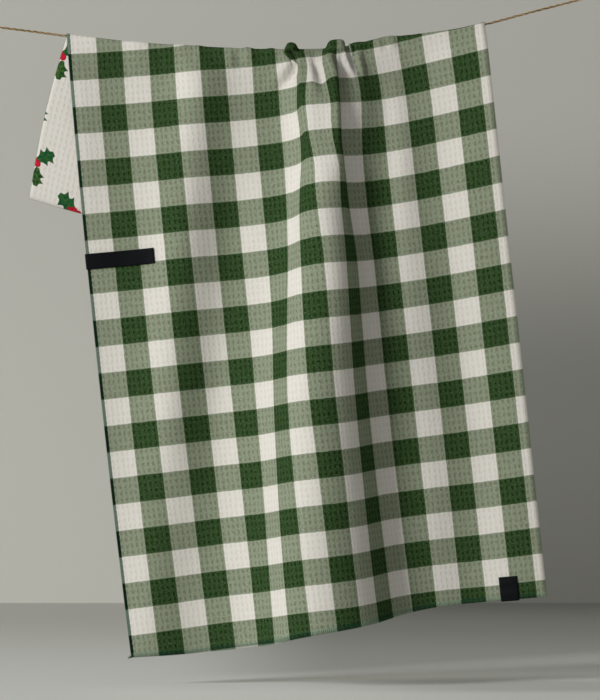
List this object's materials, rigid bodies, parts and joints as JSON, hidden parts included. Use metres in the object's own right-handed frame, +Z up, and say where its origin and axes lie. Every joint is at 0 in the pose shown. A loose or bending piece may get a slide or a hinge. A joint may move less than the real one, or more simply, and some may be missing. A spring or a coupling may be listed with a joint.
{
  "type": "tea towel on a twine line",
  "caption": "Checked waffle-weave tea towel folded over a taut twine line with knotted eyes, one deep vertical fold, a bare black side tab and hem tag.",
  "frame": {"origin": "middle of the eye that ends the twine on the left, where the line is held", "axes": "+X to the right along the line, +Z up, -Y towards the viewer of the checked front"},
  "size_m": [0.6514, 0.0981, 0.6524],
  "materials": {
    "checked_cotton": "soft waffle weave, printed green and white checks outside, white with holly sprigs inside",
    "satin_band": "smooth black satin",
    "satin_label": "smooth black satin",
    "jute_twine": "twisted natural fibre",
    "jute_left_end": "twisted natural fibre",
    "jute_right_end": "twisted natural fibre"
  },
  "bodies": {
    "root": {"towel": "checked_cotton", "side_tab": "satin_band", "hem_tag": "satin_label", "twine": "jute_twine", "left_eye": "jute_left_end", "right_eye": "jute_right_end"}
  },
  "joints": []
}
